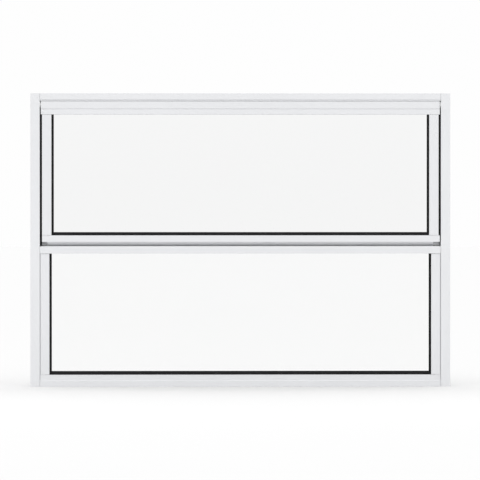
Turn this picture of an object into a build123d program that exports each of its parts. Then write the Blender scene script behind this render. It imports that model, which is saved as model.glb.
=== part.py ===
from build123d import *
from math import cos, radians
import os

# Awning window: a top-hung sash over a fixed light, in one aluminium frame.
# Millimetres. +X to the right seen from outside, +Y into the room, +Z up.
# The origin is the bottom centre of the frame, at the middle of its depth.

# Overall sizes
window_width = 600.0
window_height = 419.0
frame_depth = 50.0
fixed_light_top = 200.3

# Extrusions
wall = 1.3
jamb_face = 13.3
head_face = 8.8
transom_face = 10.1
sill_face = 17.0
edge_break = 0.9
joint_gap = 0.25

# Sill front: a lower nose that stands out, with a sloped ridge above it
ridge_height = 8.0
ridge_step = 1.2
sill_deck = 15.5
sill_lip = 1.5

# Transom deck and the upstand that the sash closes against
deck_rise = 0.9
deck_slope = 6.0
upstand_height = 4.7

# Rib under the head that closes the gap above the sash
drip_rib_inset = 1.2
drip_rib_thick = 0.8
drip_rib_drop = 1.9

# Stop legs of the frame
stop_reach = 10.7
head_stop_drop = 14.8
stop_thick = 1.4
seal_rib = 0.8
seal_base = 3.0

# Sash
sash_setback = 1.0
sash_depth = 22.0
side_gap = 3.3
rail_end_gap = 1.5
head_gap = 1.5
stop_gap = 3.0
stile_face = 13.4
top_rail_face = 19.8
hinge_nose_depth = 10.1
hinge_nose_radius = 3.0
rail_shoulder = 9.3
rail_groove = 1.6
rail_groove_drop = 11.2
rail_groove_depth = 0.5
bottom_rail_height = 14.3
undercut = 5.0
undercut_run = 9.0
under_gap = 1.5
bottom_slope = 1.0
lip_cut_back = 7.0
lip_cut_slant = 2.0

# Glazing
glass_thick = 3.0
glass_inset = 4.0
pocket_width = 8.4
pocket_depth = 7.0
glass_bite = 5.0
sill_pocket_depth = 8.0
transom_pocket_depth = 6.5
rubber_web = 1.2
rubber_bead = 0.7
side_rubber_lip = 3.4
sash_bottom_lip = 4.7
fixed_bottom_lip = 5.3
inner_lip = 1.5
top_rubber_recess = 1.2
block_length = 40.0
block_inset = 92.0

# Side channels of the fixed light
channel_face = 12.8
channel_groove = 1.0
channel_groove_depth = 1.6

# Screw ports and screws
port_wall = 1.2
port_slit = 1.2
port_root = 0.5
hidden_sides = 8
small_sides = 24
screw_radius = 1.6
screw_fit = 0.1
screw_grip = 16.0
screw_head_radius = 2.9
screw_head_height = 2.0
access_radius = 3.5

# Hinge at the top of the sash
hinge_inset = 5.0
hinge_below_top = 5.8
hinge_pin_radius = 2.45
running_clearance = 0.05
hinge_pin_grip = 24.0
hinge_boss_wall = 1.5
bush_wall = 1.5
bush_flange_radius = 4.8
bush_flange = 1.0
bush_tail = 3.0

# Stay arms
stay_length = 70.0
stay_half_width = 3.0
stay_thick = 1.5
stay_side_gap = 0.15
washer_thick = 0.5
rivet_radius = 2.0
rivet_head_radius = 3.0
rivet_head = 0.6
slide_pin_radius = 2.4
slot_clearance = 0.1
slide_pin_head = 3.8
slide_pin_head_thick = 1.5
head_play = 0.3
sash_opening = 60.0

# Seals
edge_seal_width = 2.8
edge_seal_depth = 1.2
edge_seal_recess = 0.5
right_seal_stop = 8.3
bulb_gap = 0.4
bulb_radius = 1.1

# Cam latch and keeper
latch_base_length = 44.0
latch_base_height = 10.0
latch_base_depth = 8.0
latch_axis_above_rail_bottom = 10.2
hub_radius = 5.0
lever_length = 46.0
lever_root = 7.0
lever_waist = 4.4
lever_softening = 0.8
lever_thick = 5.0
tongue_length = 10.0
tongue_thick = 2.5
tongue_gap = 0.3
latch_pin_radius = 2.0
latch_pin_head = 3.6
latch_screw_spacing = 32.0
keeper_length = 46.0
keeper_nose = 3.3
keeper_ear = 10.0
keeper_ear_thick = 1.7
keeper_mouth = 26.0
keeper_screw_radius = 1.5
keeper_head_radius = 2.6
keeper_head_height = 1.2
countersink_angle = 45.0

# Fixing holes in the jambs
fixing_radius = 2.5
fixing_access_radius = 5.0
fixing_low = 80.0
fixing_high = 340.0

# Positions that follow from the sizes above
front = -frame_depth / 2
rear = frame_depth / 2
jamb_outer = -window_width / 2
jamb_inner = jamb_outer + jamb_face
head_bottom = window_height - head_face
transom_bottom = fixed_light_top - transom_face
deck = fixed_light_top + deck_rise
sash_front = front + sash_setback
sash_rear = sash_front + sash_depth
stop_front = sash_rear + stop_gap
stop_rear = stop_front + stop_thick
upstand_top = deck + upstand_height
head_stop_bottom = head_bottom - head_stop_drop
stile_outer = jamb_inner + side_gap
stile_inner = stile_outer + stile_face
rail_end = jamb_inner + rail_end_gap
sash_top = head_bottom - head_gap
top_rail_bottom = sash_top - top_rail_face
sash_bottom = fixed_light_top + under_gap
bottom_rail_top = sash_bottom + bottom_rail_height
rail_lower_edge = sash_bottom + undercut
pocket_front = sash_front + wall
pocket_rear = pocket_front + pocket_width
pocket_back_wall = pocket_rear + wall
glass_front = sash_front + glass_inset
glass_rear = glass_front + glass_thick
hinge_y = sash_front + hinge_inset
hinge_z = sash_top - hinge_below_top
channel_outer = jamb_inner + channel_groove
channel_inner = channel_outer + channel_face
chamber_y = (stop_rear + rear - wall) / 2
port_radius = screw_radius + screw_fit
port_outer = port_radius + port_wall


def rect(a0, a1, b0, b1):
    """Rectangle between two corners of a section."""
    return Pos((a0 + a1) / 2, (b0 + b1) / 2) * Rectangle(a1 - a0, b1 - b0)


def outline(*points):
    """Closed section with straight sides."""
    return make_face(Polyline(*points, close=True))


def disc(a, b, radius):
    """Round section at a point."""
    return Pos(a, b) * Circle(radius)


def faceted(a, b, radius):
    """A round section that stays hidden in the window, drawn with flat sides."""
    return Pos(a, b) * RegularPolygon(radius, hidden_sides)


def small_round(a, b, radius):
    """A small round section that shows, drawn with sides too short to see."""
    return Pos(a, b) * RegularPolygon(radius, small_sides)


def upright(section, z0, z1):
    """Extrude a section drawn in X and Y from one height to another."""
    return extrude(Pos(0, 0, z0) * section, amount=z1 - z0, dir=(0, 0, 1))


def level(section, x0, x1):
    """Extrude a section drawn in Y and Z from one X to another."""
    plane = Plane(origin=(x0, 0, 0), x_dir=(0, 1, 0), z_dir=(1, 0, 0))
    return extrude(plane * section, amount=x1 - x0, dir=(1, 0, 0))


def upright_turned(section, z0, z1):
    """Extrude a section drawn as depth and X from one height to another."""
    plane = Plane(origin=(0, 0, z0), x_dir=(0, 1, 0), z_dir=(0, 0, -1))
    return extrude(plane * section, amount=z1 - z0, dir=(0, 0, 1))


def inward(section, y0, y1, flare=0):
    """Extrude a section drawn in X and Z from one depth to another, widening by the flare angle."""
    plane = Plane(origin=(0, y0, 0), x_dir=(1, 0, 0), z_dir=(0, -1, 0))
    return extrude(plane * section, amount=y1 - y0, dir=(0, 1, 0), taper=-flare)


def across(section):
    """Extrude a section over the clear width between the jambs, less a hairline at each butt joint."""
    return level(section, jamb_inner + joint_gap, -jamb_inner - joint_gap)


def mirrored(shape):
    """The right-hand twin of a left-hand piece."""
    return mirror(shape, about=Plane.YZ)


def port(a, b):
    """Screw port: an open ring with a slit on its upper side."""
    ring = faceted(a, b, port_outer) - faceted(a, b, port_radius)
    return ring - rect(a - port_slit / 2, a + port_slit / 2, b, b + port_outer)


def save(name, shape):
    """Write one node's file."""
    export_step(shape, "parts/" + name + ".step")


def save_pair(name, shape):
    """Write a left-hand piece and its right-hand twin."""
    save(name + "_left", shape)
    save(name + "_right", mirrored(shape))


os.makedirs("parts", exist_ok=True)

# Screw port centres of the horizontal members, as (depth, height)
port_lift = port_outer - port_root
head_ports = [(y, head_bottom + wall + port_lift) for y in (front / 2, chamber_y)]
transom_ports = [(y, transom_bottom + wall + port_lift) for y in (sash_rear - sash_depth / 4, chamber_y)]
sill_ports = [(y, wall + port_lift) for y in (sash_rear - sash_depth / 4, chamber_y)]
frame_ports = head_ports + transom_ports + sill_ports


# Jambs: hollow extrusions with a middle web, and a stop leg that is milled away where members butt
def jamb_leg(z0, z1):
    leg_tip = jamb_inner + stop_reach
    leg = rect(jamb_inner - wall, leg_tip, stop_front, stop_rear)
    for rib_start in (leg_tip - seal_rib, leg_tip - 2 * seal_rib - seal_base):
        leg += rect(rib_start, rib_start + seal_rib, stop_front - seal_rib, stop_front)
    return upright(leg, z0, z1)


def hinge_bush_hole():
    radius = hinge_pin_radius + running_clearance + bush_wall + running_clearance
    return level(faceted(hinge_y, hinge_z, radius), jamb_inner - 2 * wall, jamb_inner + wall)


def stay_slot():
    half = slide_pin_radius + slot_clearance
    slot_low = hinge_z - 2 * stay_length
    slot_high = hinge_z - 2 * stay_length * cos(radians(sash_opening))
    ends = small_round(hinge_y, slot_low, half) + small_round(hinge_y, slot_high, half)
    slot = ends + rect(hinge_y - half, hinge_y + half, slot_low, slot_high)
    return level(slot, jamb_inner - 2 * wall, jamb_inner + wall)


jamb_section = rect(jamb_outer, jamb_inner, front, rear)
jamb_section -= rect(jamb_outer + wall, jamb_inner - wall, front + wall, stop_front)
jamb_section -= rect(jamb_outer + wall, jamb_inner - wall, stop_rear, rear - wall)
jamb = upright(jamb_section, 0, window_height)
jamb += jamb_leg(sill_deck, transom_bottom)
jamb += jamb_leg(deck, head_bottom)
for y, z in frame_ports:
    jamb -= level(faceted(y, z, port_radius), jamb_inner - 2 * wall, jamb_inner + wall)
    jamb -= level(faceted(y, z, access_radius), jamb_outer - wall, jamb_outer + 2 * wall)
for z in (fixing_low, fixing_high):
    jamb -= level(disc(chamber_y, z, fixing_radius), jamb_outer - wall, jamb_outer + 2 * wall)
    jamb -= level(faceted(chamber_y, z, fixing_access_radius), jamb_inner - 2 * wall, jamb_inner + wall)
jamb -= hinge_bush_hole()
jamb -= stay_slot()
save_pair("jamb", jamb)

# Head: the same tube laid flat, with a stop leg hanging behind the sash
head_section = rect(front, rear, head_bottom, window_height)
head_section -= rect(front + wall, stop_front, head_bottom + wall, window_height - wall)
head_section -= rect(stop_rear, rear - wall, head_bottom + wall, window_height - wall)
for y, z in head_ports:
    head_section += port(y, z)
drip_rib_front = front + drip_rib_inset
head_section += rect(
    drip_rib_front, drip_rib_front + drip_rib_thick, head_bottom - drip_rib_drop, head_bottom
)
head = across(head_section)
head_leg = rect(stop_front, stop_rear, head_stop_bottom, head_bottom)
for rib_start in (head_stop_bottom, head_stop_bottom + seal_rib + seal_base):
    head_leg += rect(stop_front - seal_rib, stop_front, rib_start, rib_start + seal_rib)
head += level(head_leg, jamb_inner + stop_reach, -jamb_inner - stop_reach)
save("head", head)

# Transom: glazing pocket below, weathered deck and upstand above
transom_section = outline(
    (front, transom_bottom),
    (front, fixed_light_top - edge_break),
    (front + edge_break, fixed_light_top),
    (front + deck_slope, deck),
    (rear, deck),
    (rear, transom_bottom),
)
pocket_roof = transom_bottom + transom_pocket_depth
transom_section -= rect(front + wall, pocket_rear, transom_bottom, pocket_roof)
transom_section -= rect(pocket_back_wall, stop_front, transom_bottom + wall, deck - wall)
transom_section -= rect(stop_rear, rear - wall, transom_bottom + wall, deck - wall)
for y, z in transom_ports:
    transom_section += port(y, z)
transom = across(transom_section)
upstand_section = rect(stop_front, stop_rear, deck, upstand_top)
transom += level(upstand_section, jamb_inner + stop_reach, -jamb_inner - stop_reach)

# Sill: ridged front, glazing pocket, hollow deck and an inner lip
sill_front = front + ridge_step
sill_section = outline(
    (front, 0),
    (front, ridge_height),
    (sill_front, ridge_height + ridge_step),
    (sill_front, sill_face),
    (pocket_back_wall, sill_face),
    (pocket_back_wall, sill_deck),
    (rear - wall, sill_deck),
    (rear - wall, sill_deck + sill_lip),
    (rear, sill_deck + sill_lip),
    (rear, 0),
)
sill_pocket_floor = sill_face - sill_pocket_depth
sill_section -= rect(sill_front + wall, pocket_rear, sill_pocket_floor, sill_face)
sill_section -= rect(sill_front + wall, pocket_rear, wall, sill_pocket_floor - wall)
sill_section -= rect(pocket_back_wall, stop_front, wall, sill_deck - wall)
sill_section -= rect(stop_rear, rear - wall, wall, sill_deck - wall)
for y, z in sill_ports:
    sill_section += port(y, z)
sill = across(sill_section)
save("sill", sill)


# Frame screws: pan heads inside the jambs, shanks in the screw ports
def frame_screw(y, z):
    seat = jamb_inner - wall
    head_part = level(faceted(y, z, screw_head_radius), seat - screw_head_height, seat)
    shank = level(faceted(y, z, screw_radius), seat, seat + screw_grip)
    return head_part + shank


left_screws = [frame_screw(y, z) for y, z in frame_ports]
right_screws = [mirrored(screw) for screw in left_screws]
save("frame_screws", Compound(children=left_screws + right_screws))


# Side channels of the fixed light: a glazing channel on two feet that lean on the jamb
channel_rear = pocket_back_wall
channel_section = rect(channel_outer, channel_inner, sash_front, channel_rear)
channel_section -= rect(channel_inner - pocket_depth, channel_inner, pocket_front, pocket_rear)
channel_chamber_end = channel_inner - pocket_depth - wall
channel_section -= rect(channel_outer + wall, channel_chamber_end, pocket_front, pocket_rear)
foot_front = sash_front + channel_groove_depth
channel_section += rect(jamb_inner, channel_outer, foot_front, foot_front + wall)
channel_section += rect(jamb_inner, channel_outer, channel_rear - wall, channel_rear)
channel = upright(channel_section, sill_face + joint_gap, transom_bottom - joint_gap)
save_pair("glazing_channel", channel)


# Glass panes and the rubber channels that wrap their edges
def rubber_section(edge, side, outer_front, lip, rear_lip):
    """Section of a glazing rubber as depth and distance; the pane lies towards side."""
    back = edge - side * (glass_bite + rubber_web)
    glass_edge = edge - side * glass_bite
    shoulder_edge = edge + side * min(lip, 0)
    section = outline(
        (outer_front, back),
        (outer_front, shoulder_edge),
        (glass_front, edge + side * lip),
        (glass_front, glass_edge),
        (glass_rear, glass_edge),
        (glass_rear, edge + side * rear_lip),
        (pocket_rear, edge + side * min(rear_lip, 0)),
        (pocket_rear, back),
    )
    if lip > 0:
        bead_front = outer_front - rubber_bead
        section += outline((bead_front, edge), (glass_front, edge + side * lip), (glass_front, edge))
    return section


def glaze(name, side_edge, low_edge, high_edge, low_front, high_front, low_lip):
    """Pane and four rubber strips; the side strips stand between the bottom and top ones."""
    x0 = side_edge - glass_bite
    z0 = low_edge - glass_bite
    z1 = high_edge + glass_bite
    pane = level(rect(glass_front, glass_rear, z0, z1), x0, -x0)
    save(name + "_glass", pane)
    bottom = level(rubber_section(low_edge, 1, low_front, low_lip, inner_lip), x0, -x0)
    recess = -top_rubber_recess
    top = level(rubber_section(high_edge, -1, high_front, recess, recess), x0, -x0)
    above_edge = level(rect(front, stop_front, low_edge, high_edge), x0, side_edge)
    bottom = bottom - above_edge - mirrored(above_edge)
    side_section = rubber_section(side_edge, 1, pocket_front, side_rubber_lip, inner_lip)
    left = upright_turned(side_section, low_edge, high_edge) - bottom
    save(name + "_rubber_bottom", bottom)
    save(name + "_rubber_top", top)
    save_pair(name + "_rubber", left)


glaze("fixed", channel_inner, sill_face, transom_bottom, sill_front + wall, front + wall, fixed_bottom_lip)
glaze("sash", stile_inner, bottom_rail_top, top_rail_bottom, pocket_front, pocket_front, sash_bottom_lip)


def setting_blocks(block_front, pocket_floor, low_edge):
    """Two blocks that carry a pane on the floor of its pocket."""
    top = low_edge - glass_bite - rubber_web
    block = level(
        rect(block_front, pocket_rear, pocket_floor, top),
        stile_inner + block_inset,
        stile_inner + block_inset + block_length,
    )
    return Compound(children=[block, mirrored(block)])


save("fixed_setting_blocks", setting_blocks(sill_front + wall, sill_pocket_floor, sill_face))
bottom_pocket_floor = bottom_rail_top - pocket_depth
save("sash_setting_blocks", setting_blocks(pocket_front, bottom_pocket_floor, bottom_rail_top))

# Stiles: hollow extrusions with a glazing pocket on the pane side
stile_port_x = stile_outer + wall + port_lift
stile_port_y = (pocket_back_wall + sash_rear - wall) / 2
stile_section = rect(stile_outer, stile_inner, sash_front, sash_rear)
stile_section -= rect(stile_inner - pocket_depth, stile_inner, pocket_front, pocket_rear)
stile_section -= rect(stile_outer + wall, stile_inner - pocket_depth - wall, pocket_front, pocket_rear)
stile_section -= rect(stile_outer + wall, stile_inner - wall, pocket_back_wall, sash_rear - wall)
stile_section += port(stile_port_x, stile_port_y)
stile = upright(stile_section, bottom_rail_top + joint_gap, top_rail_bottom - joint_gap)
stay_pivot_z = hinge_z - stay_length
rivet_hole = disc(hinge_y, stay_pivot_z, rivet_radius + running_clearance)
stile -= level(rivet_hole, stile_outer - wall, stile_outer + 2 * wall)
save_pair("sash_stile", stile)

# Top rail: rounded hinge nose above, glazing pocket and rear chamber below
nose_rear = sash_front + hinge_nose_depth
shoulder = sash_top - rail_shoulder
nose = rect(sash_front, nose_rear, shoulder - wall, sash_top)
nose_corners = nose.vertices().sort_by(Axis.Y)[-2:]
nose = fillet(nose_corners, hinge_nose_radius)
top_rail_section = nose + rect(sash_front, sash_rear, top_rail_bottom, shoulder)
top_pocket_roof = top_rail_bottom + pocket_depth
top_rail_section -= rect(pocket_front, pocket_rear, top_rail_bottom, top_pocket_roof)
nose_chamber = rect(pocket_front, nose_rear - wall, top_pocket_roof + wall, sash_top - wall)
nose_chamber = chamfer(nose_chamber.vertices().sort_by(Axis.Y)[-2:], hinge_nose_radius / 3)
top_rail_section -= nose_chamber
top_rail_section -= rect(pocket_back_wall, sash_rear - wall, top_rail_bottom + wall, shoulder - wall)
hinge_bore = hinge_pin_radius + running_clearance
top_rail_section += faceted(hinge_y, hinge_z, hinge_bore + hinge_boss_wall)
top_rail_section -= disc(hinge_y, hinge_z, hinge_bore)
groove_top = sash_top - rail_groove_drop
groove = rect(sash_front, sash_front + rail_groove_depth, groove_top - rail_groove, groove_top)
top_rail_section -= groove
top_rail = level(top_rail_section, rail_end, -rail_end)


def both_sides(shape):
    return shape + mirrored(shape)


corner_hole = faceted(stile_port_x, stile_port_y, port_radius)
corner_access = faceted(stile_port_x, stile_port_y, access_radius)
top_rail -= both_sides(upright(corner_hole, top_rail_bottom - wall, top_rail_bottom + 2 * wall))
top_rail -= both_sides(upright(corner_access, shoulder - 2 * wall, shoulder + wall))
save("sash_top_rail", top_rail)

# Bottom rail: glazing pocket above, sloped undercut below that is cut back at its ends.
# Its left end is cut flush with the stile, its right end reaches nearly to the jamb.
rail_rear_bottom = sash_bottom + bottom_slope
undercut_end = sash_front + undercut_run
bottom_rail_section = outline(
    (sash_front, bottom_rail_top),
    (sash_front, rail_lower_edge),
    (undercut_end, sash_bottom),
    (sash_rear, rail_rear_bottom),
    (sash_rear, bottom_rail_top),
)
bottom_rail_section -= rect(pocket_front, pocket_rear, bottom_pocket_floor, bottom_rail_top)
bottom_rail_section -= rect(
    pocket_back_wall, sash_rear - wall, rail_rear_bottom + wall, bottom_rail_top - wall
)
bottom_rail_section -= outline(
    (pocket_front + wall, bottom_pocket_floor - wall),
    (undercut_end, sash_bottom + wall),
    (pocket_rear, sash_bottom + wall),
    (pocket_rear, bottom_pocket_floor - wall),
)
bottom_rail = level(bottom_rail_section, stile_outer, -rail_end)
lip_cut = outline(
    (rail_end - wall, rail_lower_edge),
    (stile_outer + lip_cut_back, rail_lower_edge),
    (stile_outer + lip_cut_back + lip_cut_slant, sash_bottom - wall),
    (rail_end - wall, sash_bottom - wall),
)
bottom_rail -= both_sides(inward(lip_cut, sash_front - wall, pocket_rear))
bottom_rail -= both_sides(upright(corner_hole, bottom_rail_top - 2 * wall, bottom_rail_top + wall))
bottom_rail -= both_sides(upright(corner_access, sash_bottom - wall, rail_rear_bottom + 2 * wall))


# Corner screws: heads inside the rails, shanks in the stiles' screw ports
def corner_screw(seat, way):
    shank_end = seat + way * (wall + screw_grip)
    head_end = seat - way * screw_head_height
    shank = upright(
        faceted(stile_port_x, stile_port_y, screw_radius), min(seat, shank_end), max(seat, shank_end)
    )
    cap = upright(
        faceted(stile_port_x, stile_port_y, screw_head_radius), min(seat, head_end), max(seat, head_end)
    )
    return shank + cap


upper_screw = corner_screw(top_rail_bottom + wall, -1)
lower_screw = corner_screw(bottom_rail_top - wall, 1)
corner_screws = [upper_screw, mirrored(upper_screw), lower_screw, mirrored(lower_screw)]
save("sash_corner_screws", Compound(children=corner_screws))

# Hinge pins in the top rail, and the flanged bushes in the jambs that they turn in
pin_tip = jamb_inner - wall - bush_tail
hinge_pin = level(disc(hinge_y, hinge_z, hinge_pin_radius), pin_tip, rail_end + hinge_pin_grip)
save_pair("hinge_pin", hinge_pin)
bush = level(faceted(hinge_y, hinge_z, hinge_bore + bush_wall), pin_tip, jamb_inner)
bush += level(small_round(hinge_y, hinge_z, bush_flange_radius), jamb_inner, jamb_inner + bush_flange)
bush -= level(disc(hinge_y, hinge_z, hinge_bore), pin_tip - wall, jamb_inner + 2 * bush_flange)
save_pair("hinge_bush", bush)

# Stay arms: flat bars in the side gaps, riveted to the stiles, with a pin in the jamb's slot
washer_inner = stile_outer - stay_side_gap
arm_inner = washer_inner - washer_thick
arm_outer = arm_inner - stay_thick
stay_end_z = stay_pivot_z - stay_length
arm_section = rect(hinge_y - stay_half_width, hinge_y + stay_half_width, stay_end_z, stay_pivot_z)
arm_section += small_round(hinge_y, stay_pivot_z, stay_half_width)
arm_section += small_round(hinge_y, stay_end_z, stay_half_width)
arm_section -= rivet_hole
arm_section -= faceted(hinge_y, stay_end_z, rivet_radius + running_clearance)
save_pair("stay_arm", level(arm_section, arm_outer, arm_inner))
washer_section = faceted(hinge_y, stay_pivot_z, stay_half_width)
washer_section -= rivet_hole
save_pair("stay_washer", level(washer_section, arm_inner, washer_inner))
rivet_head_inner = arm_outer - stay_side_gap
rivet = level(disc(hinge_y, stay_pivot_z, rivet_radius), rivet_head_inner, stile_outer + wall)
rivet_dome = small_round(hinge_y, stay_pivot_z, rivet_head_radius)
rivet += level(rivet_dome, rivet_head_inner - rivet_head, rivet_head_inner)
rivet_tail = faceted(hinge_y, stay_pivot_z, rivet_head_radius - head_play)
rivet += level(rivet_tail, stile_outer + wall, stile_outer + 2 * wall)
save_pair("stay_rivet", rivet)
pin_head_face = jamb_inner - wall - head_play
slide_pin = level(faceted(hinge_y, stay_end_z, rivet_radius), arm_outer, arm_inner)
slide_pin += level(small_round(hinge_y, stay_end_z, slide_pin_radius), pin_head_face, arm_outer)
slide_button = faceted(hinge_y, stay_end_z, slide_pin_head)
slide_pin += level(slide_button, pin_head_face - slide_pin_head_thick, pin_head_face)
save_pair("stay_slide_pin", slide_pin)

# Black edge seals on the stiles' outer sides, at the front of the side gaps. The left one runs
# down past the bottom rail's flush end; the right one is slit to pass the rail's longer end.
seal_front = sash_front + edge_seal_recess
seal_outer = stile_outer - edge_seal_width
edge_seal = rect(seal_outer, stile_outer, seal_front, seal_front + edge_seal_depth)
save("edge_seal_left", upright(edge_seal, sash_bottom, top_rail_bottom))
right_seal = upright(edge_seal, bottom_rail_top, top_rail_bottom)
beside_rail = rect(seal_outer, rail_end, seal_front, seal_front + edge_seal_depth)
right_seal += upright(beside_rail, sash_bottom + right_seal_stop, bottom_rail_top)
save("edge_seal_right", mirrored(right_seal))


# Weather seals on the stop legs: a base between two ribs and a bulb that nearly meets the sash
def bulb_section(centre):
    bulb_y = sash_rear + bulb_gap + bulb_radius
    base = rect(stop_front - seal_rib, stop_front, centre - seal_base / 2, centre + seal_base / 2)
    bulb = faceted(bulb_y, centre, bulb_radius)
    neck = rect(bulb_y, stop_front - seal_rib, centre - bulb_radius / 2, centre + bulb_radius / 2)
    return base + bulb + neck - faceted(bulb_y, centre, bulb_radius / 2)


leg_seal_x = jamb_inner + stop_reach - seal_rib - seal_base / 2
head_seal_z = head_stop_bottom + seal_rib + seal_base / 2
save_pair("stop_seal", upright_turned(bulb_section(leg_seal_x), deck, head_stop_bottom))
top_seal = level(bulb_section(head_seal_z), jamb_inner + stop_reach, -jamb_inner - stop_reach)
save("stop_seal_top", top_seal)
lower_seal_z = upstand_top - seal_base / 2
lower_seal = level(bulb_section(lower_seal_z), jamb_inner + stop_reach, -jamb_inner - stop_reach)
save("stop_seal_bottom", lower_seal)

# Cam latch: a base on the bottom rail, and a lever whose tongue turns down behind the keeper
latch_z = sash_bottom + latch_axis_above_rail_bottom
base_rear = sash_rear + latch_base_depth
base_half = latch_base_length / 2
base_low = latch_z - latch_base_height / 2
base_high = latch_z + latch_base_height / 2
latch_base = inward(rect(-base_half, base_half, base_low, base_high), sash_rear, base_rear)
latch_base = chamfer(latch_base.edges().filter_by(Axis.Y), latch_base_height / 4)
latch_base = chamfer(latch_base.faces().sort_by(Axis.Y)[-1].edges(), wall / 2)
screw_xs = (-latch_screw_spacing / 2, latch_screw_spacing / 2)
countersink_depth = screw_head_radius - screw_radius
latch_pin_hole = disc(0, latch_z, latch_pin_radius + running_clearance)
latch_screws = []
for x in screw_xs:
    shank_section = faceted(x, latch_z, screw_radius)
    tip_y = sash_rear - 2 * wall
    cone_start = base_rear - countersink_depth
    cone = inward(small_round(x, latch_z, screw_radius), cone_start, base_rear, countersink_angle)
    latch_screw = inward(shank_section, tip_y, cone_start) + cone
    latch_screws.append(latch_screw)
    latch_base -= inward(faceted(x, latch_z, port_radius), sash_rear - wall, base_rear + wall)
    latch_base -= cone
    bottom_rail -= inward(faceted(x, latch_z, port_radius), sash_rear - 2 * wall, sash_rear + wall)
latch_base -= inward(latch_pin_hole, sash_rear - wall, base_rear + wall)
save("latch_base", latch_base)
save("latch_screws", Compound(children=latch_screws))

tongue_front = base_rear + tongue_gap
tongue_rear = tongue_front + tongue_thick
lever_rear = tongue_rear + lever_thick
thumb_x = lever_length - lever_root / 2
lever_section = outline(
    (0, latch_z - lever_root / 2),
    (thumb_x, latch_z - lever_waist / 2),
    (thumb_x, latch_z + lever_waist / 2),
    (0, latch_z + lever_root / 2),
)
lever_section += small_round(thumb_x, latch_z, lever_root / 2)
lever_section += small_round(0, latch_z, hub_radius)
lever = inward(lever_section, tongue_rear, lever_rear)
lever = chamfer(lever.faces().sort_by(Axis.Y)[-1].edges(), lever_softening)
lever += inward(small_round(0, latch_z, hub_radius), tongue_front, tongue_rear)
tongue_section = rect(-tongue_length, 0, latch_z - lever_root / 2, latch_z + lever_root / 2)
lever += inward(tongue_section, tongue_front, tongue_rear)
tongue_tip = lever.edges().filter_by(Axis.Z).sort_by(Axis.X)[:2].sort_by(Axis.Y)[0]
lever = chamfer(tongue_tip, tongue_thick / 2)
lever -= inward(latch_pin_hole, tongue_front - wall, lever_rear + wall)
save("latch_lever", lever)
pin_head_seat = lever_rear + tongue_gap
latch_pin = inward(disc(0, latch_z, latch_pin_radius), sash_rear - wall, pin_head_seat)
latch_pin += inward(small_round(0, latch_z, latch_pin_head), pin_head_seat, pin_head_seat + wall)
pin_relief = faceted(0, latch_z, latch_pin_radius + tongue_gap)
bottom_rail -= inward(pin_relief, sash_rear - 2 * wall, sash_rear + wall)
save("latch_pin", latch_pin)
save("sash_bottom_rail", bottom_rail)

# Keeper: a nose across the transom with two screwed ears, open in the middle for the tongue
keeper_front = base_rear - keeper_nose
keeper_half = keeper_length / 2
keeper = level(rect(keeper_front, base_rear, deck, upstand_top), -keeper_half, keeper_half)
keeper = fillet(keeper.edges().filter_by(Axis.X).sort_by(Axis.Z)[-2:], wall / 2)
ear_section = rect(keeper_front, base_rear + keeper_ear, deck, deck + keeper_ear_thick)
ear = level(ear_section, -keeper_half, -keeper_mouth / 2)
ear_screw_x = -(keeper_half + keeper_mouth / 2) / 2
ear_screw_y = base_rear + keeper_ear / 2
ear_hole_section = faceted(ear_screw_x, ear_screw_y, keeper_screw_radius + screw_fit)
ear_hole = upright(ear_hole_section, deck - 2 * wall, upstand_top)
keeper += both_sides(ear)
keeper -= both_sides(ear_hole)
transom -= both_sides(ear_hole)
save("keeper", keeper)
save("transom", transom)
ear_top = deck + keeper_ear_thick
ear_shank = faceted(ear_screw_x, ear_screw_y, keeper_screw_radius)
ear_screw = upright(ear_shank, deck - 2 * wall, ear_top)
ear_head = small_round(ear_screw_x, ear_screw_y, keeper_head_radius)
ear_screw += upright(ear_head, ear_top, ear_top + keeper_head_height)
save("keeper_screws", Compound(children=[ear_screw, mirrored(ear_screw)]))
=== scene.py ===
import bmesh
import bpy
from math import cos, pi, radians, sin
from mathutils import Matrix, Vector


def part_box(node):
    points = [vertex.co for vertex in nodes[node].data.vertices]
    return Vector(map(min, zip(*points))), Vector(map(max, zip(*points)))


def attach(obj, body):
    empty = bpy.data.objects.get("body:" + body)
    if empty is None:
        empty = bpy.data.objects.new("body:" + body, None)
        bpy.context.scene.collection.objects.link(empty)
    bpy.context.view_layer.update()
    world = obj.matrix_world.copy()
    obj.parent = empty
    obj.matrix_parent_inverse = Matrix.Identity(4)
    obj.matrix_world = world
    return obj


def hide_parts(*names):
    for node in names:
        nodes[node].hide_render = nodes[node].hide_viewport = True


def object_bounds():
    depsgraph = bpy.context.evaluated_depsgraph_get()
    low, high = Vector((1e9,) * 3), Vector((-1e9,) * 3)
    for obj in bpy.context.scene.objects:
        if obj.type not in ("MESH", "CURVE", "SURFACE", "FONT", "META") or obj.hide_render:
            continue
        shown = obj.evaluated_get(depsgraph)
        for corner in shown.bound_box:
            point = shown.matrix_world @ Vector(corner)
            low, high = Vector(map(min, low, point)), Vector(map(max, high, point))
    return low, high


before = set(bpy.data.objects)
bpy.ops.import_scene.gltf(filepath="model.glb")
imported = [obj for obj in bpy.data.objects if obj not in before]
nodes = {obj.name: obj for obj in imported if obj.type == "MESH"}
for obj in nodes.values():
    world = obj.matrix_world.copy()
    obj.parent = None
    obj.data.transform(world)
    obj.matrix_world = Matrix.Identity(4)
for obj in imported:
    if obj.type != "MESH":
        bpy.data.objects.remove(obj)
cad_low, cad_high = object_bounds()

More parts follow.
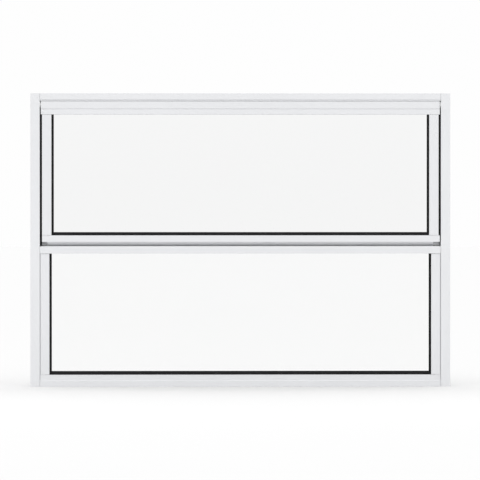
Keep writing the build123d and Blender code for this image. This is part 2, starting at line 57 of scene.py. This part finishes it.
# Camera: the window was photographed from outside, almost square on, with a long lens held a little
# above its middle and a hand's span to the left. The window fills 420 of the picture's 480 pixels.
picture_pixels = 480
window_pixels = 419.9
lens_mm = 400.0
sensor_mm = 36.0
camera_left_of_square = radians(1.4)
camera_above_level = radians(0.6)
window_width = cad_high.x - cad_low.x
window_right_of_middle = 0.0007
aim = Vector((-window_right_of_middle, cad_low.y, (cad_low.z + cad_high.z) / 2))
seen_width = window_width * picture_pixels / window_pixels
camera_distance = seen_width * lens_mm / sensor_mm
back = Vector((
    -sin(camera_left_of_square) * cos(camera_above_level),
    -cos(camera_left_of_square) * cos(camera_above_level),
    sin(camera_above_level),
))
camera_data = bpy.data.cameras.new("camera")
camera_data.lens = lens_mm
camera_data.sensor_width = sensor_mm
camera_data.clip_end = 50.0
camera = bpy.data.objects.new("camera", camera_data)
camera.location = aim + back * camera_distance
camera.rotation_euler = (-back).to_track_quat("-Z", "Y").to_euler()
bpy.context.scene.collection.objects.link(camera)
bpy.context.scene.camera = camera

# Studio: an even white surround, which is what the panes show, with a large soft lamp high on the left
# and two more low at the sides, and a pale matt table top that the window stands on.
bpy.context.scene.view_settings.view_transform = "Standard"
surround_low = 0.95
surround_high = 1.50
backdrop_white = 0.99
floor_radius = 17.0
floor_tone = (0.745, 0.745, 0.745)
floor_roughness = 0.9

world = bpy.data.worlds.new("studio surround")
world.use_nodes = True
bpy.context.scene.world = world
world_tree = world.node_tree
world_tree.nodes.clear()
ray_direction = world_tree.nodes.new("ShaderNodeTexCoord")
upward = world_tree.nodes.new("ShaderNodeSeparateXYZ")
surround_ramp = world_tree.nodes.new("ShaderNodeMapRange")
surround_ramp.inputs["From Min"].default_value = 0.0
surround_ramp.inputs["From Max"].default_value = 1.0
surround_ramp.inputs["To Min"].default_value = surround_low
surround_ramp.inputs["To Max"].default_value = surround_high
surround_light = world_tree.nodes.new("ShaderNodeBackground")
backdrop = world_tree.nodes.new("ShaderNodeBackground")
backdrop.inputs["Strength"].default_value = backdrop_white
seen_straight = world_tree.nodes.new("ShaderNodeLightPath")
world_mix = world_tree.nodes.new("ShaderNodeMixShader")
world_out = world_tree.nodes.new("ShaderNodeOutputWorld")
backdrop.inputs["Color"].default_value = (1, 1, 1, 1)
surround_light.inputs["Color"].default_value = (1, 1, 1, 1)
world_tree.links.new(ray_direction.outputs["Generated"], upward.inputs["Vector"])
world_tree.links.new(upward.outputs["Z"], surround_ramp.inputs["Value"])
world_tree.links.new(surround_ramp.outputs["Result"], surround_light.inputs["Strength"])
world_tree.links.new(seen_straight.outputs["Is Camera Ray"], world_mix.inputs["Fac"])
world_tree.links.new(surround_light.outputs["Background"], world_mix.inputs[1])
world_tree.links.new(backdrop.outputs["Background"], world_mix.inputs[2])
world_tree.links.new(world_mix.outputs["Shader"], world_out.inputs["Surface"])


def soft_lamp(name, place, size, power):
    """A square soft lamp that faces the window's middle and isn't itself seen through the panes."""
    data = bpy.data.lights.new(name, "AREA")
    data.size = size
    data.energy = power
    lamp = bpy.data.objects.new(name, data)
    lamp.location = place
    lamp.rotation_euler = (aim - Vector(place)).to_track_quat("-Z", "Y").to_euler()
    lamp.visible_transmission = False
    bpy.context.scene.collection.objects.link(lamp)


soft_lamp("key lamp", (-0.9, -1.3, 2.0), 1.2, 1.2)
soft_lamp("low right lamp", (0.9, -0.8, 0.05), 0.5, 1.3)
soft_lamp("low left lamp", (-0.9, -0.8, 0.05), 0.5, 1.4)


def new_finish(name, base, roughness):
    """A new material of one tone; gives it, its tree and its shader."""
    material = bpy.data.materials.new(name)
    material.use_nodes = True
    shader = material.node_tree.nodes["Principled BSDF"]
    shader.inputs["Base Color"].default_value = (*base, 1)
    shader.inputs["Roughness"].default_value = roughness
    return material, material.node_tree, shader


floor_material, _, floor_shader = new_finish("matt table top", floor_tone, floor_roughness)
floor_shader.inputs["Specular IOR Level"].default_value = 0.0
bpy.ops.mesh.primitive_circle_add(vertices=96, radius=floor_radius, fill_type="NGON")
floor = bpy.context.object
floor.name = "table_top"
floor.data.materials.append(floor_material)


# Frame members: jambs, head, transom and sill are hollow aluminium extrusions, powder coated white.
# The coat has a fine orange peel, and the die leaves faint lines along each bar. Edges are eased.
paint_tone = (0.700, 0.706, 0.722)
paint_roughness = 0.42
peel_size = 0.0011
peel_height = 0.000018
die_line_pitch = 0.0016
die_line_stretch = 0.012
die_line_height = 0.000012
edge_radius = 0.00035
cloud_size = 0.06
cloud_dark = 0.988
cloud_light = 1.006
even = (1, 1, 1)
noise_low = 0.3
noise_high = 0.7
edge_samples = 6
paint_shinier = 0.04
paint_duller = 0.05


def grain_pattern(tree, size, stretch, detail):
    """Noise on the object's own coordinates, with grains of that size, stretched by axis."""
    place = tree.nodes.new("ShaderNodeTexCoord")
    mapping = tree.nodes.new("ShaderNodeMapping")
    mapping.inputs["Scale"].default_value = stretch
    noise = tree.nodes.new("ShaderNodeTexNoise")
    noise.inputs["Scale"].default_value = 1 / size
    noise.inputs["Detail"].default_value = detail
    tree.links.new(place.outputs["Object"], mapping.inputs["Vector"])
    tree.links.new(mapping.outputs["Vector"], noise.inputs["Vector"])
    return noise.outputs["Fac"]


def shade_between(tree, value, low, high):
    """A tone that follows a noise between two tones."""
    ramp = tree.nodes.new("ShaderNodeValToRGB")
    ramp.color_ramp.elements[0].position = noise_low
    ramp.color_ramp.elements[1].position = noise_high
    ramp.color_ramp.elements[0].color = (*low, 1)
    ramp.color_ramp.elements[1].color = (*high, 1)
    tree.links.new(value, ramp.inputs["Fac"])
    return ramp.outputs["Color"]


def dullness_between(tree, value, low, high):
    """A roughness that follows a noise between two values."""
    ramp = tree.nodes.new("ShaderNodeMapRange")
    ramp.inputs["From Min"].default_value = noise_low
    ramp.inputs["From Max"].default_value = noise_high
    ramp.inputs["To Min"].default_value = low
    ramp.inputs["To Max"].default_value = high
    tree.links.new(value, ramp.inputs["Value"])
    return ramp.outputs["Result"]


def relief(tree, value, height, under=None):
    """A bump of that height in metres, laid over the one under it."""
    bump = tree.nodes.new("ShaderNodeBump")
    bump.inputs["Strength"].default_value = 1.0
    bump.inputs["Distance"].default_value = height
    tree.links.new(value, bump.inputs["Height"])
    if under is not None:
        tree.links.new(under, bump.inputs["Normal"])
    return bump.outputs["Normal"]


def powder_coat(name, stretch):
    """White powder coat over an extrusion whose die lines run along the axis stretched least."""
    material, tree, shader = new_finish(name, paint_tone, paint_roughness)
    cloud = grain_pattern(tree, cloud_size, even, 2.0)
    low = tuple(tone * cloud_dark for tone in paint_tone)
    high = tuple(tone * cloud_light for tone in paint_tone)
    tree.links.new(shade_between(tree, cloud, low, high), shader.inputs["Base Color"])
    peel = grain_pattern(tree, peel_size, even, 1.0)
    lines = grain_pattern(tree, die_line_pitch, stretch, 2.0)
    shiniest = paint_roughness - paint_shinier
    dullest = paint_roughness + paint_duller
    tree.links.new(dullness_between(tree, lines, shiniest, dullest), shader.inputs["Roughness"])
    eased = tree.nodes.new("ShaderNodeBevel")
    eased.samples = edge_samples
    eased.inputs["Radius"].default_value = edge_radius
    coat = relief(tree, peel, peel_height, eased.outputs["Normal"])
    coat = relief(tree, lines, die_line_height, coat)
    tree.links.new(coat, shader.inputs["Normal"])
    return material


def finish(material, *names):
    """Gives CAD nodes their material."""
    for name in names:
        mesh = nodes[name].data
        mesh.materials.clear()
        mesh.materials.append(material)


upright_coat = powder_coat("powder coat on upright bars", (1, 1, die_line_stretch))
level_coat = powder_coat("powder coat on level bars", (die_line_stretch, 1, 1))
finish(upright_coat, "jamb_left", "jamb_right")
finish(level_coat, "head", "transom", "sill")


# Frame screws: twelve stainless pan heads with a cross recess. Each goes in through the large hole in
# a jamb's outer wall, seats on the inner wall and cuts its thread in a port of head, transom or sill.
merge_reach = 0.000001
sharp_edge = radians(35)
head_sides = 32
head_rings = 6
recess_wing = 0.26
recess_heart = 0.36
recess_foot = 0.12
recess_sides = 16
recess_overrun = 1.1
shank_sides = 20
core_share = 0.8
thread_steps = 14
thread_share = 0.9
spin_seed = 4
frame_head = {"Seat Radius": 0.0029, "Head Radius": 0.0029, "Head Height": 0.0013, "Crown": 0.0007}
frame_shank = {"Shank Radius": 0.0015, "Thread Pitch": 0.0014}
frame_recess = {"Recess Width": 0.0030, "Recess Depth": 0.0012}
steel_tone = (0.60, 0.60, 0.61)
mark_depth = 0.000004
stain_size = 0.004
stain_dark = 0.9
turned_marks = 0.0002
turned_dullness = (0.24, 0.34)


def stainless(name, mark_size, stretch, dull, dullest):
    """Stainless steel with fine tool or brush marks along the axis stretched least."""
    material, tree, shader = new_finish(name, steel_tone, dull)
    shader.inputs["Metallic"].default_value = 1.0
    marks = grain_pattern(tree, mark_size, stretch, 3.0)
    stain = grain_pattern(tree, stain_size, even, 2.0)
    dark = tuple(tone * stain_dark for tone in steel_tone)
    tree.links.new(shade_between(tree, stain, dark, steel_tone), shader.inputs["Base Color"])
    tree.links.new(dullness_between(tree, marks, dull, dullest), shader.inputs["Roughness"])
    tree.links.new(relief(tree, marks, mark_depth), shader.inputs["Normal"])
    return material


turned_steel = stainless("turned stainless", turned_marks, even, *turned_dullness)


def screw_tree():
    """Tree that seats a cross-recess screw on each place, with its head out along the place's axis."""
    tree = bpy.data.node_groups.new("cross-recess screws", "GeometryNodeTree")
    socket = tree.interface.new_socket
    socket("Places", in_out="INPUT", socket_type="NodeSocketGeometry")
    for name in (*frame_head, *frame_shank, "Shank Length", *frame_recess):
        socket(name, in_out="INPUT", socket_type="NodeSocketFloat")
    socket("Finish", in_out="INPUT", socket_type="NodeSocketMaterial")
    socket("Screws", in_out="OUTPUT", socket_type="NodeSocketGeometry")
    size = tree.nodes.new("NodeGroupInput").outputs

    def add(kind, *inputs, **settings):
        """A node with its settings and inputs, each a value or another node's socket."""
        node = tree.nodes.new(kind)
        for name, value in settings.items():
            setattr(node, name, value)
        for name, value in inputs:
            if isinstance(value, bpy.types.NodeSocket):
                tree.links.new(value, node.inputs[name])
            else:
                node.inputs[name].default_value = value
        return node.outputs

    def worked(operation, a, b):
        """Arithmetic on two values."""
        return add("ShaderNodeMath", (0, a), (1, b), operation=operation)[0]

    def lifted(mesh, height, turn=0.0):
        """A mesh moved up the screw's axis and turned about it."""
        move = add("ShaderNodeCombineXYZ", ("Z", height))[0]
        return add(
            "GeometryNodeTransform", ("Geometry", mesh), ("Translation", move), ("Rotation", (0, 0, turn))
        )[0]

    blank = add(
        "GeometryNodeMeshCone", ("Vertices", head_sides), ("Fill Segments", head_rings),
        ("Radius Top", size["Head Radius"]), ("Radius Bottom", size["Seat Radius"]),
        ("Depth", size["Head Height"]), fill_type="TRIANGLE_FAN",
    )[0]
    place = add("GeometryNodeInputPosition")[0]
    flat = add("ShaderNodeVectorMath", (0, place), (1, (1, 1, 0)), operation="MULTIPLY")[0]
    from_axis = add("ShaderNodeVectorMath", (0, flat), operation="LENGTH")[1]
    share = worked("DIVIDE", from_axis, size["Head Radius"])
    rise = worked("MULTIPLY", worked("SUBTRACT", 1.0, worked("MULTIPLY", share, share)), size["Crown"])
    height = add("ShaderNodeSeparateXYZ", (0, place))[2]
    half_height = worked("MULTIPLY", size["Head Height"], 0.5)
    top_face = add("FunctionNodeCompare", (0, height), (1, half_height))[0]
    crown = add("ShaderNodeCombineXYZ", ("Z", rise))[0]
    head = add(
        "GeometryNodeSetPosition", ("Geometry", blank), ("Selection", top_face), ("Offset", crown)
    )[0]

    top = worked("ADD", size["Head Height"], size["Crown"])
    floor_of_recess = worked("SUBTRACT", top, size["Recess Depth"])
    wing_size = add(
        "ShaderNodeCombineXYZ", ("X", size["Recess Width"]),
        ("Y", worked("MULTIPLY", size["Recess Width"], recess_wing)),
        ("Z", worked("MULTIPLY", size["Recess Depth"], 2.0)),
    )[0]
    wing = add("GeometryNodeMeshCube", ("Size", wing_size))[0]
    heart = add(
        "GeometryNodeMeshCone", ("Vertices", recess_sides),
        ("Depth", worked("MULTIPLY", size["Recess Depth"], recess_overrun)),
        ("Radius Top", worked("MULTIPLY", size["Recess Width"], recess_heart)),
        ("Radius Bottom", worked("MULTIPLY", size["Recess Width"], recess_foot)),
    )[0]
    cut_head = add(
        "GeometryNodeMeshBoolean", ("Mesh 1", head), ("Mesh 2", lifted(wing, top)),
        ("Mesh 2", lifted(wing, top, pi / 2)), ("Mesh 2", lifted(heart, floor_of_recess)), solver="EXACT",
    )[0]

    core = worked("MULTIPLY", size["Shank Radius"], core_share)
    shank = add(
        "GeometryNodeMeshCylinder", ("Vertices", shank_sides), ("Radius", core),
        ("Depth", size["Shank Length"]),
    )[0]
    threaded = worked("MULTIPLY", size["Shank Length"], thread_share)
    helix = add(
        "GeometryNodeCurveSpiral", ("Resolution", thread_steps), ("Height", threaded),
        ("Rotations", worked("DIVIDE", threaded, size["Thread Pitch"])),
        ("Start Radius", core), ("End Radius", core),
    )[0]
    ridge_depth = worked("SUBTRACT", size["Shank Radius"], core)
    ridge = add("GeometryNodeCurvePrimitiveCircle", ("Resolution", 3), ("Radius", ridge_depth))[0]
    thread = add(
        "GeometryNodeCurveToMesh", ("Curve", helix), ("Profile Curve", ridge), ("Fill Caps", True)
    )[0]
    tip = worked("MULTIPLY", size["Shank Length"], -1.0)
    middle = worked("MULTIPLY", tip, 0.5)
    thread_foot = worked("ADD", tip, ridge_depth)
    screw = add(
        "GeometryNodeJoinGeometry", (0, cut_head), (0, lifted(shank, middle)),
        (0, lifted(thread, thread_foot)),
    )[0]

    axis = add("GeometryNodeInputNamedAttribute", ("Name", "axis"), data_type="FLOAT_VECTOR")[0]
    upright = add("FunctionNodeAlignRotationToVector", ("Vector", axis), axis="Z")[0]
    spin = add("FunctionNodeRandomValue", (2, 0.0), (3, pi), ("Seed", spin_seed), data_type="FLOAT")[1]
    turn = add("FunctionNodeAxisAngleToRotation", ("Axis", (0, 0, 1)), ("Angle", spin))[0]
    set_at = add(
        "FunctionNodeRotateRotation", ("Rotation", upright), ("Rotate By", turn), rotation_space="LOCAL"
    )[0]
    placed = add(
        "GeometryNodeInstanceOnPoints", ("Points", size["Places"]), ("Instance", screw),
        ("Rotation", set_at),
    )[0]
    real = add("GeometryNodeRealizeInstances", ("Geometry", placed))[0]
    finished = add("GeometryNodeSetMaterial", ("Geometry", real), ("Material", size["Finish"]))[0]
    out = tree.nodes.new("NodeGroupOutput")
    tree.links.new(finished, out.inputs["Screws"])
    return tree


screws = screw_tree()


def separate_solids(node):
    """The corner points of each separate solid in a CAD node."""
    joined = bmesh.new()
    joined.from_mesh(nodes[node].data)
    bmesh.ops.remove_doubles(joined, verts=joined.verts, dist=merge_reach)
    solids = []
    for start in joined.verts:
        if start.tag:
            continue
        start.tag = True
        reach = [start]
        points = []
        while reach:
            vertex = reach.pop()
            points.append(vertex.co.copy())
            for edge in vertex.link_edges:
                other = edge.other_vert(vertex)
                if not other.tag:
                    other.tag = True
                    reach.append(other)
        solids.append(points)
    joined.free()
    return solids


def screw_place(points, head_height):
    """Seat, outward axis and shank length of the plain CAD screw with these corner points."""
    low = Vector([min(point[i] for point in points) for i in range(3)])
    high = Vector([max(point[i] for point in points) for i in range(3)])
    span = high - low
    along = max(range(3), key=lambda i: span[i])
    middle = (low + high) / 2

    def off_axis(point):
        """How far a point is from the screw's axis."""
        away = point - middle
        away[along] = 0
        return away.length

    outward = 1 if max(points, key=off_axis)[along] > middle[along] else -1
    axis = Vector((0, 0, 0))
    axis[along] = outward
    seat = middle + axis * (span[along] / 2 - head_height)
    return seat, axis, span[along] - head_height


def plain_mesh(maker, tree, inputs):
    """What a node tree makes on an object, as a plain mesh; the object goes."""
    modifier = maker.modifiers.new(tree.name, "NODES")
    modifier.node_group = tree
    for item in tree.interface.items_tree:
        if item.in_out == "INPUT" and item.name in inputs:
            modifier[item.identifier] = inputs[item.name]
    bpy.context.scene.collection.objects.link(maker)
    made = bpy.data.meshes.new_from_object(maker.evaluated_get(bpy.context.evaluated_depsgraph_get()))
    bpy.data.objects.remove(maker)
    made.materials.clear()
    made.materials.append(inputs["Finish"])
    made.polygons.foreach_set("material_index", [0] * len(made.polygons))
    made.shade_smooth()
    made.set_sharp_from_angle(angle=sharp_edge)
    return made


def fit_piece(name, mesh, body):
    """A piece made of this mesh, which rides on a body."""
    piece = bpy.data.objects.new(name, mesh)
    bpy.context.scene.collection.objects.link(piece)
    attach(piece, body)
    return piece


def set_screws(name, node, body, head_sizes, shank_sizes, recess_sizes):
    """Detailed screws in the places of a CAD node's plain ones."""
    head_height = head_sizes["Head Height"] + head_sizes["Crown"]
    places = [screw_place(points, head_height) for points in separate_solids(node)]
    mesh = bpy.data.meshes.new(name + "_places")
    mesh.from_pydata([seat for seat, _, _ in places], [], [])
    directions = mesh.attributes.new("axis", "FLOAT_VECTOR", "POINT")
    for direction, (_, axis, _) in zip(directions.data, places):
        direction.vector = axis
    _, _, shank_length = places[0]
    inputs = {**head_sizes, **shank_sizes, **recess_sizes, "Finish": turned_steel}
    inputs["Shank Length"] = shank_length
    maker = bpy.data.objects.new(name + "_maker", mesh)
    piece = fit_piece(name, plain_mesh(maker, screws, inputs), body)
    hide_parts(node)


set_screws("frame_pan_screws", "frame_screws", "frame", frame_head, frame_shank, frame_recess)


# Side channels of the fixed light: lighter extrusions of the same coat, cut to stand between the
# sill and the transom, each on two feet against its jamb.
finish(upright_coat, "glazing_channel_left", "glazing_channel_right")


# Setting blocks: short blocks of moulded nylon on the floors of the glazing pockets, which carry the
# panes clear of the metal.
nylon_tone = (0.78, 0.78, 0.77)
nylon_shade = tuple(tone * 0.94 for tone in nylon_tone)
nylon_grain_size = 0.0008
nylon_flow_size = 0.006
nylon_grain_height = 0.00002
nylon_roughness = 0.5
nylon_shiniest = 0.42
nylon_dullest = 0.58
nylon_material, nylon_tree, nylon_shader = new_finish("moulded nylon", nylon_tone, nylon_roughness)
nylon_grain = grain_pattern(nylon_tree, nylon_grain_size, even, 3.0)
nylon_flow = grain_pattern(nylon_tree, nylon_flow_size, even, 2.0)
nylon_colour = shade_between(nylon_tree, nylon_flow, nylon_shade, nylon_tone)
nylon_tree.links.new(nylon_colour, nylon_shader.inputs["Base Color"])
nylon_tree.links.new(relief(nylon_tree, nylon_grain, nylon_grain_height), nylon_shader.inputs["Normal"])
nylon_dullness = dullness_between(nylon_tree, nylon_grain, nylon_shiniest, nylon_dullest)
nylon_tree.links.new(nylon_dullness, nylon_shader.inputs["Roughness"])
finish(nylon_material, "fixed_setting_blocks", "sash_setting_blocks")


# Panes: clear float glass, 3 mm thick, with a trace of grey that takes a little of the light and the
# faint long waves that float glass has. They stand on the setting blocks.
glass_tone = (0.959, 0.961, 0.960)
glass_bending = 1.5
wave_length = 0.09
wave_height = 0.00001
glass_material, glass_tree, glass_shader = new_finish("clear float glass", glass_tone, 0.0)
glass_shader.inputs["Transmission Weight"].default_value = 1.0
glass_shader.inputs["IOR"].default_value = glass_bending
glass_waves = grain_pattern(glass_tree, wave_length, even, 0.0)
glass_tree.links.new(relief(glass_tree, glass_waves, wave_height), glass_shader.inputs["Normal"])
finish(glass_material, "fixed_glass", "sash_glass")


# Glazing rubber: black EPDM channels pressed into the pockets round both panes, matt, with fine
# extrusion lines along each strip and the faint grey bloom that such rubber gets outdoors.
rubber_tone = (0.004, 0.004, 0.0045)
rubber_bloom = (0.009, 0.009, 0.010)
rubber_roughness = 0.62
rubber_dullness = (0.52, 0.72)
rubber_sheen = 0.15
bloom_size = 0.02
strip_line_pitch = 0.0006
strip_line_height = 0.00004
strip_stretch = 0.02


def rubber(name, stretch):
    """Black rubber whose extrusion lines run along the axis stretched least."""
    material, tree, shader = new_finish(name, rubber_tone, rubber_roughness)
    shader.inputs["Specular IOR Level"].default_value = rubber_sheen
    bloom = grain_pattern(tree, bloom_size, even, 3.0)
    tree.links.new(shade_between(tree, bloom, rubber_tone, rubber_bloom), shader.inputs["Base Color"])
    lines = grain_pattern(tree, strip_line_pitch, stretch, 2.0)
    tree.links.new(relief(tree, lines, strip_line_height), shader.inputs["Normal"])
    tree.links.new(dullness_between(tree, lines, *rubber_dullness), shader.inputs["Roughness"])
    return material


upright_rubber = rubber("rubber on upright strips", (1, 1, strip_stretch))
level_rubber = rubber("rubber on level strips", (strip_stretch, 1, 1))
finish(upright_rubber, "fixed_rubber_left", "fixed_rubber_right", "sash_rubber_left", "sash_rubber_right")
finish(level_rubber, "fixed_rubber_bottom", "fixed_rubber_top", "sash_rubber_bottom", "sash_rubber_top")


# Sash: two rails and two stiles of smaller extrusions with the same white coat. The rails run over
# the stiles' ends, and a screw through each rail into a stile's port holds each corner.
corner_head = {"Seat Radius": 0.0029, "Head Radius": 0.0029, "Head Height": 0.0013, "Crown": 0.0007}
finish(upright_coat, "sash_stile_left", "sash_stile_right")
finish(level_coat, "sash_top_rail", "sash_bottom_rail")
set_screws("sash_corner_pan_screws", "sash_corner_screws", "sash", corner_head, frame_shank, frame_recess)


# Hinge: a stainless pin in each end of the top rail's bore, and the flanged nylon bush in the jamb
# that it turns in.
finish(turned_steel, "hinge_pin_left", "hinge_pin_right")
finish(nylon_material, "hinge_bush_left", "hinge_bush_right")


# Stay arms: flat bars of brushed stainless in the side gaps. A rivet and a nylon washer hold each to
# its stile, and the nylon pin at its other end slides in the jamb's slot.
brush_marks = 0.0004
brushed_along = (1, 1, 0.03)
brushed_dullness = (0.24, 0.42)
brushed_steel = stainless("brushed stainless", brush_marks, brushed_along, *brushed_dullness)
finish(brushed_steel, "stay_arm_left", "stay_arm_right")
finish(turned_steel, "stay_rivet_left", "stay_rivet_right")
finish(nylon_material, "stay_washer_left", "stay_washer_right")
finish(nylon_material, "stay_slide_pin_left", "stay_slide_pin_right")


# Seals: black rubber strips on the stiles' outer sides, which fill the side gaps at the front, and
# bulb seals pushed between the ribs of the frame's stop legs.
finish(upright_rubber, "edge_seal_left", "edge_seal_right", "stop_seal_left", "stop_seal_right")
finish(level_rubber, "stop_seal_top", "stop_seal_bottom")


# Cam latch: a die-cast base and lever with a satin white coat, on the inside of the bottom rail. The
# pin holds the lever to the base, and two countersunk screws hold the base. The thumb end has ribs.
cast_grain_size = 0.0018
cast_grain_height = 0.00003
cast_cloud_size = 0.012
cast_cloud_dark = 0.975
cast_roughness = 0.36
cast_dullness = (0.30, 0.42)
latch_head = {"Seat Radius": 0.00155, "Head Radius": 0.00285, "Head Height": 0.0013, "Crown": 0.0}
latch_shank = {"Shank Radius": 0.0015, "Thread Pitch": 0.0012}
latch_recess = {"Recess Width": 0.0026, "Recess Depth": 0.0009}
rib_count = 5
rib_pitch = 0.0011
rib_radius = 0.00035
rib_segments = 14
rib_rings = 10
thumb_radius = 0.0035
thumb_edge = 0.0011


def cast_coat():
    """Satin white coat over die-cast metal, a little softer in relief than on the bars."""
    material, tree, shader = new_finish("satin coat on castings", paint_tone, cast_roughness)
    cloud = grain_pattern(tree, cast_cloud_size, even, 2.0)
    low = tuple(tone * cast_cloud_dark for tone in paint_tone)
    tree.links.new(shade_between(tree, cloud, low, paint_tone), shader.inputs["Base Color"])
    grain = grain_pattern(tree, cast_grain_size, even, 2.0)
    eased = tree.nodes.new("ShaderNodeBevel")
    eased.samples = edge_samples
    eased.inputs["Radius"].default_value = edge_radius
    tree.links.new(relief(tree, grain, cast_grain_height, eased.outputs["Normal"]), shader.inputs["Normal"])
    tree.links.new(dullness_between(tree, grain, *cast_dullness), shader.inputs["Roughness"])
    return material


cast_material = cast_coat()
finish(cast_material, "latch_base", "latch_lever")
finish(turned_steel, "latch_pin")
set_screws("latch_countersunk_screws", "latch_screws", "sash", latch_head, latch_shank, latch_recess)


def rib_tree():
    """Tree that lays rounded ribs side by side on the thumb end, each as long as the round end allows."""
    tree = bpy.data.node_groups.new("thumb ribs", "GeometryNodeTree")
    socket = tree.interface.new_socket
    socket("Places", in_out="INPUT", socket_type="NodeSocketGeometry")
    socket("Rib Radius", in_out="INPUT", socket_type="NodeSocketFloat")
    socket("Finish", in_out="INPUT", socket_type="NodeSocketMaterial")
    socket("Ribs", in_out="OUTPUT", socket_type="NodeSocketGeometry")
    size = tree.nodes.new("NodeGroupInput").outputs
    bead = tree.nodes.new("GeometryNodeMeshUVSphere")
    bead.inputs["Segments"].default_value = rib_segments
    bead.inputs["Rings"].default_value = rib_rings
    bead.inputs["Radius"].default_value = 1.0
    reach = tree.nodes.new("GeometryNodeInputNamedAttribute")
    reach.inputs["Name"].default_value = "reach"
    stretch = tree.nodes.new("ShaderNodeCombineXYZ")
    laid = tree.nodes.new("GeometryNodeInstanceOnPoints")
    real = tree.nodes.new("GeometryNodeRealizeInstances")
    finished = tree.nodes.new("GeometryNodeSetMaterial")
    out = tree.nodes.new("NodeGroupOutput")
    tree.links.new(size["Rib Radius"], stretch.inputs["X"])
    tree.links.new(size["Rib Radius"], stretch.inputs["Y"])
    tree.links.new(reach.outputs[0], stretch.inputs["Z"])
    tree.links.new(size["Places"], laid.inputs["Points"])
    tree.links.new(bead.outputs["Mesh"], laid.inputs["Instance"])
    tree.links.new(stretch.outputs["Vector"], laid.inputs["Scale"])
    tree.links.new(laid.outputs["Instances"], real.inputs["Geometry"])
    tree.links.new(real.outputs["Geometry"], finished.inputs["Geometry"])
    tree.links.new(size["Finish"], finished.inputs["Material"])
    tree.links.new(finished.outputs["Geometry"], out.inputs["Ribs"])
    return tree


lever_low, lever_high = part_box("latch_lever")
thumb_middle = Vector((lever_high.x - thumb_radius, lever_high.y, (lever_low.z + lever_high.z) / 2))
rib_steps = [rib_pitch * (i - (rib_count - 1) / 2) for i in range(rib_count)]
rib_mesh = bpy.data.meshes.new("rib_places")
rib_mesh.from_pydata([thumb_middle + Vector((step, 0, 0)) for step in rib_steps], [], [])
rib_reach = rib_mesh.attributes.new("reach", "FLOAT", "POINT")
for value, step in zip(rib_reach.data, rib_steps):
    value.value = ((thumb_radius - thumb_edge) ** 2 - step ** 2) ** 0.5
rib_maker = bpy.data.objects.new("rib_maker", rib_mesh)
rib_inputs = {"Rib Radius": rib_radius, "Finish": cast_material}
fit_piece("latch_lever_thumb_ribs", plain_mesh(rib_maker, rib_tree(), rib_inputs), "latch")


# Keeper: a die-cast nose with the latch's coat, screwed to the transom's deck by its two ears and open
# in the middle, that the lever's tongue turns down behind.
keeper_head = {"Seat Radius": 0.0026, "Head Radius": 0.0026, "Head Height": 0.0008, "Crown": 0.0004}
keeper_shank = {"Shank Radius": 0.0014, "Thread Pitch": 0.0011}
keeper_recess = {"Recess Width": 0.0026, "Recess Depth": 0.0008}
finish(cast_material, "keeper")
set_screws("keeper_pan_screws", "keeper_screws", "frame", keeper_head, keeper_shank, keeper_recess)
